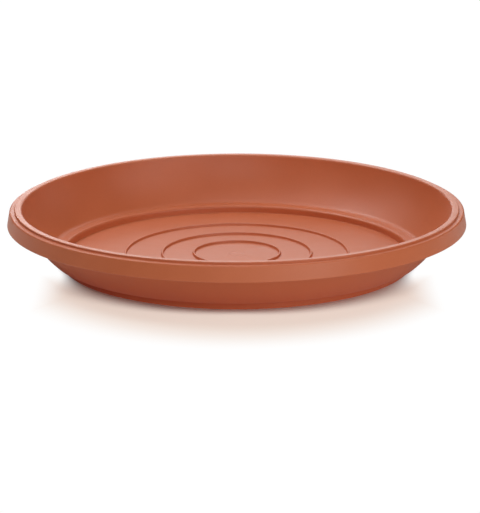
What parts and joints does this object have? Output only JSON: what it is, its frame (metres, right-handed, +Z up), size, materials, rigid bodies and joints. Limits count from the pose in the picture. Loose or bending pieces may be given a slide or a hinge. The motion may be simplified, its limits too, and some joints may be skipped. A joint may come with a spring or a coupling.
{
  "type": "plant saucer",
  "caption": "Round shallow plant saucer with a rolled, stepped rim, a bowed wall, a ledge and raised concentric rings on its floor.",
  "frame": {"origin": "middle of the foot ring, on the surface that the saucer stands on", "axes": "+Z up along the axis of the round saucer; X and Y are alike"},
  "size_m": [0.4, 0.4, 0.0507],
  "materials": {
    "terracotta_plastic": "satin injection-moulded plastic, coloured through, with a fine mould grain"
  },
  "bodies": {
    "root": {"saucer": "terracotta_plastic"}
  },
  "joints": []
}
